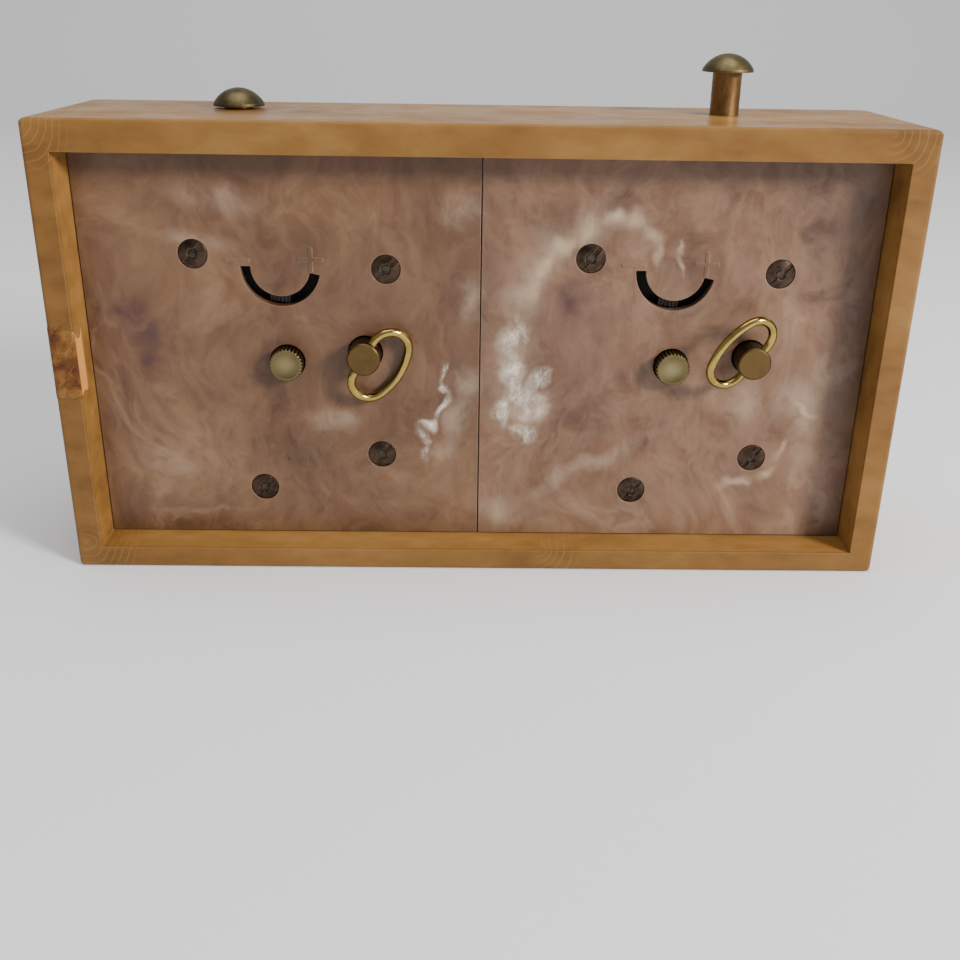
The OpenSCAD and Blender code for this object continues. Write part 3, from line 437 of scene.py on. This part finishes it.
def pillar_material():
    """Brass pillars whose threaded ends behind the panel nuts are darkened."""
    p = Paint("pillar_metal")
    panel_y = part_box("left_back_panel")[0].y
    end = p.remap(p.axis("Y"), panel_y - 1.0 * MM, panel_y - 0.5 * MM)
    brass = p.mix(p.remap(p.noise(150, 5, 0.6), 0.4, 0.65), (0.72, 0.54, 0.26), (0.52, 0.38, 0.17))
    dark = p.mix(p.remap(p.noise(700, 4, 0.6), 0.4, 0.65), (0.075, 0.056, 0.044), (0.032, 0.024, 0.019))
    p.set(Base_Color=p.mix(end, brass, dark), Metallic=1.0)
    p.set(Roughness=p.remap(p.noise(500, 4, 0.6), 0.3, 0.7, 0.26, 0.42))
    p.bump(p.noise(1400, 3, 0.6), 0.03 * MM, 0.4, 0.15 * MM)
    return p.material


def back_plate_material():
    """Brass plate whose rear face and edge are coloured very dark and matt: painted shade for the dark seen
    through the slots.
    """
    p = Paint("back_plate_metal")
    rear_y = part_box("left_back_plate")[1].y
    rear = p.remap(p.axis("Y"), rear_y - 0.6 * MM, rear_y - 0.3 * MM)
    brass = p.mix(p.remap(p.noise(150, 5, 0.6), 0.4, 0.65), BRASS["base"], BRASS["tarnish"])
    # Painted shade: very dark, matt and not metallic on the rear face and edge
    slot_shade_colour = p.mix(p.noise(400, 4, 0.6), (0.012, 0.010, 0.009), (0.022, 0.019, 0.016))
    p.set(Base_Color=p.mix(rear, brass, slot_shade_colour), Metallic=p.math("SUBTRACT", 1.0, rear))
    p.set(Roughness=p.math("ADD", 0.35, p.share(rear, 0.4)))
    p.bump(p.noise(1100, 3, 0.6), 0.03 * MM, 0.4, 0.2 * MM)
    return p.material


def dial_material():
    """Cream paint, yellowed in places and foxed."""
    p = Paint("cream_dial")
    age = p.remap(p.noise(34, 6, 0.62), 0.40, 0.72)
    colour = p.mix(p.share(age, 0.5), (0.80, 0.74, 0.58), (0.70, 0.61, 0.43))
    foxing = p.remap(p.noise(520, 2, 0.5), 0.70, 0.78)
    colour = p.mix(p.share(foxing, 0.35), colour, (0.45, 0.33, 0.18))
    p.set(Base_Color=colour, Roughness=p.remap(p.noise(240, 3, 0.5), 0.3, 0.7, 0.46, 0.6))
    p.bump(p.noise(1100, 3, 0.6), 0.02 * MM, 0.3)
    return p.material


def paint_material(name, base, other, rough=(0.28, 0.42)):
    """Enamel or ink in two close shades."""
    p = Paint(name)
    p.set(Base_Color=p.mix(p.remap(p.noise(260, 5, 0.6), 0.4, 0.65), base, other))
    p.set(Roughness=p.remap(p.noise(520, 4, 0.6), 0.3, 0.7, *rough))
    p.bump(p.noise(1300, 3, 0.6), 0.02 * MM, 0.3)
    return p.material


def glass_material():
    """Clear glass, a little smeared."""
    p = Paint("window_glass")
    p.set(Base_Color=p.mix(p.noise(60, 3, 0.5), (0.97, 0.99, 0.98), (0.94, 0.97, 0.96)))
    p.set(Roughness=p.remap(p.noise(90, 5, 0.65), 0.5, 0.75, 0.0, 0.06))
    p.set(IOR=1.49, Transmission_Weight=1.0)
    return p.material


def tape_material():
    """Old amber adhesive tape: brittle and blotched on the rim, clean and pale on the inner wall."""
    p = Paint("old_tape")
    rim_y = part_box("case")[1].y
    blotch = p.noise(300, 6, 0.7, p.warp(140, 0.006))
    colour = p.ramp(blotch, [
        (0.34, (0.046, 0.013, 0.002)), (0.47, (0.110, 0.034, 0.003)),
        (0.56, (0.170, 0.068, 0.009)), (0.68, (0.240, 0.122, 0.030)),
    ])
    rim = p.remap(p.axis("Y"), rim_y - RIM_ROUND, rim_y - 0.3 * MM)
    inner = p.mix(p.noise(200, 4, 0.6), (0.66, 0.300, 0.075), (0.54, 0.235, 0.055))
    colour = p.mix(rim, inner, colour)
    p.set(Base_Color=colour, Roughness=p.remap(p.noise(260, 5, 0.65), 0.3, 0.7, 0.30, 0.55))
    p.set(IOR=1.35)
    p.bump(p.noise(420, 5, 0.7, p.warp(200, 0.003)), 0.12 * MM, 0.6)
    return p.material


def floor_material():
    """Matt white studio paper."""
    p = Paint("studio_floor")
    p.set(Base_Color=p.mix(p.noise(3, 4, 0.5), (0.83, 0.83, 0.835), (0.86, 0.86, 0.865)), Roughness=0.85)
    p.set(Specular_IOR_Level=0.15)
    return p.material


movement_brass = metal_material("movement_brass", **BRASS)
movement_steel = metal_material("movement_steel", **STEEL)
blued_steel = metal_material("spring_steel", **SPRING_STEEL)
hand_paint = paint_material("hand_black", (0.018, 0.017, 0.016), (0.032, 0.030, 0.028))
ink = paint_material("dial_ink", (0.015, 0.014, 0.013), (0.030, 0.028, 0.025), (0.45, 0.60))

FINISHES = {
    "case": case_material(),
    "panel_nuts": nut_material(),
    "pillars": pillar_material(),
    "plate_fasteners": movement_steel,
    "rocker_bracket": movement_steel,
    "mainsprings": blued_steel,
    "hairsprings": blued_steel,
}
SIDE_FINISHES = {
    "back_panel": panel_material(),
    "glass": glass_material(),
    "dial": dial_material(),
    "flag": paint_material("flag_red", (0.50, 0.030, 0.018), (0.40, 0.022, 0.014)),
    "hour_hand": hand_paint,
    "minute_hand": hand_paint,
    "key_bow": metal_material("bow_brass", **BOW_BRASS, rough=(0.12, 0.26), scale=200, edge=0.0),
    "centre_arbor": movement_steel,
    "winding_arbor": movement_steel,
    "click": movement_steel,
    "pallet_lever": movement_steel,
    "back_plate": back_plate_material(),
    "regulator": metal_material("regulator_steel", **DARK_STEEL, rough=(0.4, 0.6)),
}


def finish_of(name):
    """The material of a node, by its name. What has none of its own is movement brass."""
    side, _, kind = name.partition("_")
    if name in FINISHES:
        return FINISHES[name]
    if side in SIDES and kind in SIDE_FINISHES:
        return SIDE_FINISHES[kind]
    if kind == "plunger":
        return plunger_material(name + "_brass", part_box(name)[1].z - CAP_HEIGHT)
    if kind in ("bezel", "key_stem", "setting_knob"):
        return turned_material(name, kind)
    return movement_brass


def finish_nodes():
    for name, obj in nodes.items():
        chosen = finish_of(name)
        for slot in obj.material_slots:
            slot.material = chosen
        if not obj.material_slots:
            obj.data.materials.append(chosen)


# ---- New pieces ----


def add_mesh(name, mesh, material):
    obj = bpy.data.objects.new(name, mesh)
    bpy.context.scene.collection.objects.link(obj)
    mesh.materials.append(material)
    return obj


def ink_prisms(shapes, face_y, lift):
    """Thin prisms on a dial that faces -Y, as one bmesh. Shapes are outlines in X and Z."""
    bm = bmesh.new()
    for outline in shapes:
        front = [bm.verts.new((x, face_y - lift, z)) for x, z in outline]
        back = [bm.verts.new((x, face_y + lift, z)) for x, z in outline]
        bm.faces.new(front)
        bm.faces.new(back[::-1])
        count = len(outline)
        for i in range(count):
            j = (i + 1) % count
            bm.faces.new((front[j], front[i], back[i], back[j]))
    bmesh.ops.recalc_face_normals(bm, faces=bm.faces)
    return bm


def ring_pieces(radius, width, centre, steps=180):
    """A ring about centre, as short four-sided outlines."""
    inner, outer = radius - width / 2, radius + width / 2
    shapes = []
    for i in range(steps):
        corners = []
        for r, k in ((inner, i), (outer, i), (outer, i + 1), (inner, i + 1)):
            a = 2 * math.pi * k / steps
            corners.append((centre[0] + r * math.sin(a), centre[1] + r * math.cos(a)))
        shapes.append(corners)
    return shapes


def tick(centre, angle, r1, r2, width):
    """The outline of a bar that points outwards from centre, from radius r1 to r2."""
    out = Vector((math.sin(angle), math.cos(angle)))
    across = Vector((out.y, -out.x)) * width / 2
    c = Vector(centre)
    return [tuple(c + out * r1 - across), tuple(c + out * r2 - across), tuple(c + out * r2 + across),
            tuple(c + out * r1 + across)]


def numeral_mesh(text, size, x, y, z, lift):
    """A plain numeral standing on a dial that faces -Y, centred on x and z."""
    curve = bpy.data.curves.new("numeral", "FONT")
    curve.body = text
    curve.size = size
    curve.align_x = "CENTER"
    curve.align_y = "CENTER"
    curve.extrude = lift
    curve.resolution_u = 4
    curve.offset = size * 0.012
    holder = bpy.data.objects.new("numeral", curve)
    bpy.context.scene.collection.objects.link(holder)
    bpy.context.view_layer.update()
    mesh = bpy.data.meshes.new_from_object(holder.evaluated_get(bpy.context.evaluated_depsgraph_get()))
    mesh.transform(Matrix.Translation((x, y, z)) @ Matrix.Rotation(math.pi / 2, 4, "X"))
    bpy.data.objects.remove(holder)
    bpy.data.curves.remove(curve)
    return mesh


def dial_print(side):
    """Minute track and Arabic numerals, printed on the dial."""
    face_behind_front = 1.1 * MM
    lift = 0.04 * MM
    track_r, track_w = 34.7 * MM, 0.3 * MM
    tick_end = 34.5 * MM
    hour_tick_start, hour_tick_w = 32.1 * MM, 0.9 * MM
    minute_tick_start, minute_tick_w = 32.8 * MM, 0.3 * MM
    numeral_r, numeral_size = 26.2 * MM, 9.8 * MM

    face_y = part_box(side + "_dial")[0].y + face_behind_front
    low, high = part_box(side + "_glass")
    centre = ((low.x + high.x) / 2, (low.z + high.z) / 2)
    shapes = []
    for minute in range(60):
        start, width = (minute_tick_start, minute_tick_w) if minute % 5 else (hour_tick_start, hour_tick_w)
        shapes.append(tick(centre, 2 * math.pi * minute / 60, start, tick_end, width))
    bm = ink_prisms(shapes + ring_pieces(track_r, track_w, centre), face_y, lift)
    for hour in range(1, 13):
        angle = 2 * math.pi * hour / 12
        x = centre[0] + numeral_r * math.sin(angle)
        z = centre[1] + numeral_r * math.cos(angle)
        mesh = numeral_mesh(str(hour), numeral_size, x, face_y, z, lift)
        bm.from_mesh(mesh)
        bpy.data.meshes.remove(mesh)
    made = bpy.data.meshes.new(side + "_dial_print")
    bm.to_mesh(made)
    bm.free()
    obj = add_mesh(side + "_dial_print", made, ink)
    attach(obj, "case")


def tape_path():
    """X and Y along the tape: up the outer side, round the edge, over the rim and down the inner wall."""
    lift = 0.07 * MM
    wall_taper = 0.052
    arc_steps = 6
    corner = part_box("case")[1]
    round_x, round_y = corner.x - RIM_ROUND, corner.y - RIM_ROUND
    inner_x = corner.x - SIDE_WALL
    path = [(corner.x + lift, corner.y - d * MM) for d in (5.5, 4.5, 3.5, 2.5, 1.6)]
    reach = RIM_ROUND + lift
    for i in range(arc_steps + 1):
        a = math.radians(90 * i / arc_steps)
        path.append((round_x + reach * math.cos(a), round_y + reach * math.sin(a)))
    path += [(inner_x + d * MM, corner.y + lift) for d in (4.2, 3.4, 2.6, 1.8, 1.0, 0.3)]
    for d in (0.0, 0.6, 1.4, 2.4, 3.4, 4.2, 5.0):
        path.append((inner_x - wall_taper * d * MM - lift, corner.y + lift / 2 - d * MM))
    return path


def tape_ends(i, t):
    """Z of the tape's torn lower and upper edges in millimetres, at step i and share t of its path."""
    low, high = 44.6, 61.6
    low += 0.5 * math.sin(i * 1.9) + 0.35 * math.sin(i * 4.3 + 1)
    high += 0.6 * math.sin(i * 1.3 + 2) + 0.4 * math.sin(i * 3.7)
    past_rim = t - 0.72
    if past_rim > 0:
        high -= 2.5 * math.sin(past_rim * 9)
        low += 1.2 * math.sin(past_rim * 7)
    return low, high


def tape_remnant():
    """A remnant of adhesive tape wrapped round the +X rim."""
    rows = 26
    path = tape_path()
    bm = bmesh.new()
    grid = []
    for i, (x, y) in enumerate(path):
        low, high = tape_ends(i, i / (len(path) - 1))
        heights = [(low + (high - low) * k / (rows - 1)) * MM for k in range(rows)]
        grid.append([bm.verts.new((x, y, z)) for z in heights])
    for a, b in zip(grid, grid[1:]):
        for k in range(rows - 1):
            bm.faces.new((a[k], a[k + 1], b[k + 1], b[k]))
    bmesh.ops.recalc_face_normals(bm, faces=bm.faces)
    mesh = bpy.data.meshes.new("tape_remnant")
    bm.to_mesh(mesh)
    bm.free()
    obj = add_mesh("tape_remnant", mesh, tape_material())
    solid = obj.modifiers.new("thickness", "SOLIDIFY")
    solid.thickness = 0.09 * MM
    solid.offset = 0
    for face in mesh.polygons:
        face.use_smooth = True
    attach(obj, "case")


# ---- Stage, lights and camera ----


def area_light(name, place, target, size, power, colour=(1, 1, 1)):
    light = bpy.data.lights.new(name, "AREA")
    light.shape = "DISK"
    light.size = size
    light.energy = power
    light.color = colour
    obj = bpy.data.objects.new(name, light)
    obj.location = place
    obj.rotation_euler = (Vector(target) - Vector(place)).to_track_quat("-Z", "Y").to_euler()
    bpy.context.scene.collection.objects.link(obj)


def swept_floor():
    """A pale floor that curves up into a wall beyond the dial side."""
    floor_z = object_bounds()[0][2]
    half, near, far, sweep_r, top = 6.0, 6.0, 1.1, 0.7, 2.4
    profile = [(near, floor_z), (-far, floor_z)]
    for i in range(1, 13):
        a = math.radians(90 * i / 12)
        profile.append((-far - sweep_r * math.sin(a), floor_z + sweep_r * (1 - math.cos(a))))
    profile.append((-far - sweep_r, floor_z + top))
    bm = bmesh.new()
    rows = [[bm.verts.new((x, y, z)) for x in (-half, half)] for y, z in profile]
    for a, b in zip(rows, rows[1:]):
        bm.faces.new((a[0], a[1], b[1], b[0]))
    mesh = bpy.data.meshes.new("floor")
    bm.to_mesh(mesh)
    bm.free()
    for face in mesh.polygons:
        face.use_smooth = True
    add_mesh("floor", mesh, floor_material())


def build_stage():
    """The floor, a key light from the -X side behind the clock, a wide light overhead and a grey world."""
    swept_floor()
    world = bpy.data.worlds.new("studio")
    bpy.context.scene.world = world
    world.use_nodes = True
    back = world.node_tree.nodes["Background"]
    back.inputs["Color"].default_value = (0.97, 0.98, 1.0, 1.0)
    back.inputs["Strength"].default_value = 0.37
    middle = (0, 0, 0.05)
    area_light("key", (-0.77, 0.62, 0.50), middle, size=0.26, power=16.5, colour=(1.0, 0.985, 0.96))
    area_light("overhead", (0, 0.1, 1.8), middle, size=1.6, power=21)


def build_camera():
    """A camera on the panel side, above the clock and looking a little down on it."""
    lens = bpy.data.cameras.new("photo_view")
    lens.lens = 41.535
    lens.sensor_width = 36
    lens.clip_start = 0.01
    lens.clip_end = 100
    obj = bpy.data.objects.new("photo_view", lens)
    obj.location = (0.003449, 0.275070, 0.131814)
    obj.rotation_euler = (math.radians(66.8066), math.radians(-0.8237), math.radians(179.4740))
    bpy.context.scene.collection.objects.link(obj)
    bpy.context.scene.camera = obj


finish_nodes()
for side in SIDES:
    dial_print(side)
tape_remnant()
build_stage()
build_camera()
